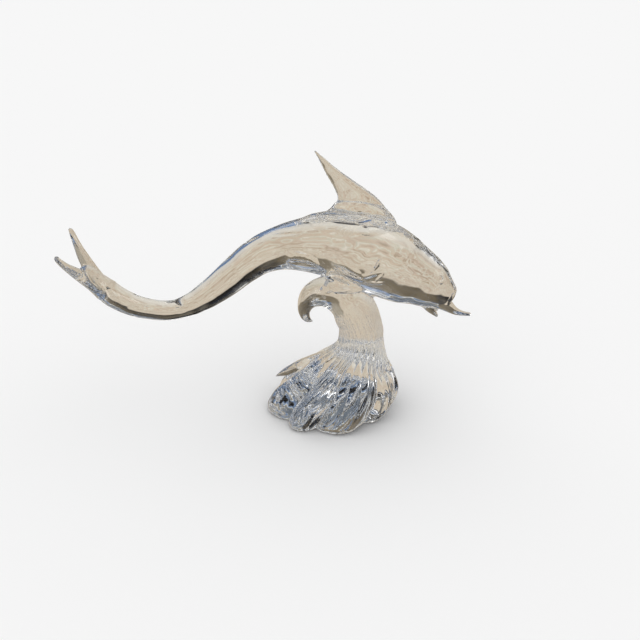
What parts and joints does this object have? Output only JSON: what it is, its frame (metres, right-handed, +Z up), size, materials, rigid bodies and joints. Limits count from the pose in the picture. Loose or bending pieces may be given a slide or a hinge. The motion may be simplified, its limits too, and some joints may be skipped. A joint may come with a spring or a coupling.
{
  "type": "glass dolphin sculpture",
  "caption": "Clear glass dolphin with an arched body and upswept forked tail, leaping over a ribbed glass wave that curls under its belly and spreads into a lobed foot.",
  "frame": {"origin": "centre of the flat underside of the foot, on the surface that the piece stands on", "axes": "+Z up, +X towards the dolphin's head with the tail on -X, +Y to the dolphin's left as it faces +X"},
  "size_m": [0.4831, 0.151, 0.3194],
  "materials": {
    "clear_glass": "polished clear glass, solid and fire polished"
  },
  "bodies": {
    "root": {"glass_dolphin": "clear_glass"}
  },
  "joints": []
}
